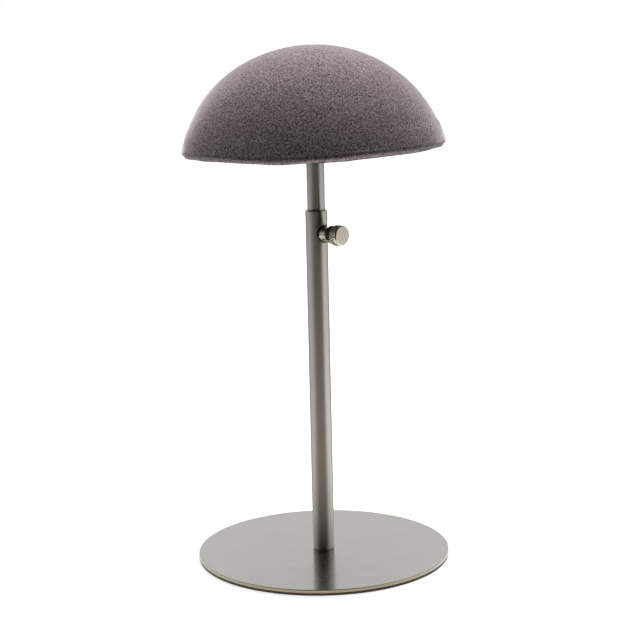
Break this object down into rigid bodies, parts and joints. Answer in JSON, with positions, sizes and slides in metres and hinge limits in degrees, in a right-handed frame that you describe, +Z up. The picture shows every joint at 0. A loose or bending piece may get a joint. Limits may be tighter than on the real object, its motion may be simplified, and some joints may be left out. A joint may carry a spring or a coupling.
{
  "type": "milliners hat stand",
  "caption": "Hat display stand: a soft covered dome on a telescopic steel pole, held by a knurled thumb screw, on a flat round plate.",
  "frame": {"origin": "centre of the resting face, on the pole's axis", "axes": "+Z up along the pole, +X along the thumb screw's axis, away from the pole"},
  "size_m": [0.1814, 0.1814, 0.3651],
  "materials": {
    "foam_pad": "matte",
    "plate_steel": "satin",
    "tube_steel": "satin",
    "fastener_steel": "satin",
    "nickel": "gloss",
    "nylon": "matte",
    "fibre": "matte",
    "plywood": "matte",
    "moulded_shell": "matte",
    "foam_padding": "matte",
    "suede": "matte",
    "lining": "matte"
  },
  "bodies": {
    "base": {"base_pad": "foam_pad", "base_plate": "plate_steel", "foot_screw": "fastener_steel", "foot_plug": "fastener_steel", "outer_tube": "tube_steel", "clamp_boss": "tube_steel"},
    "clamp_slide": {"clamp_stud": "fastener_steel"},
    "clamp_turn": {"clamp_knob": "nickel"},
    "carriage": {"guide_bush": "nylon"},
    "head": {"inner_tube": "tube_steel", "tube_insert": "fastener_steel", "head_stud": "fastener_steel", "head_washer": "fibre", "flange_nut": "fastener_steel", "flange_screws": "fastener_steel", "head_board": "plywood", "head_shell": "moulded_shell", "head_padding": "foam_padding", "head_cover": "suede", "head_lining": "lining"}
  },
  "joints": [
    {"name": "height_slide", "type": "slide", "parent": "base", "child": "carriage", "axis": [0, 0, 1], "range_m": [-0.041, 0.143]},
    {"name": "head_swivel", "type": "hinge", "parent": "carriage", "child": "head", "pos_m": [0, 0, 0.2925], "axis": [0, 0, 1], "continuous": true},
    {"name": "clamp_screw_travel", "type": "slide", "parent": "base", "child": "clamp_slide", "axis": [1, 0, 0], "range_m": [0, 0.0024]},
    {"name": "clamp_screw_turn", "type": "hinge", "parent": "clamp_slide", "child": "clamp_turn", "pos_m": [0.0136, 0, 0.2347], "axis": [1, 0, 0], "range_deg": [0, 1080]}
  ],
  "couplings": [
    {"joint": "clamp_screw_travel", "follows": "clamp_screw_turn", "m_per_rad": 0.00012732}
  ]
}
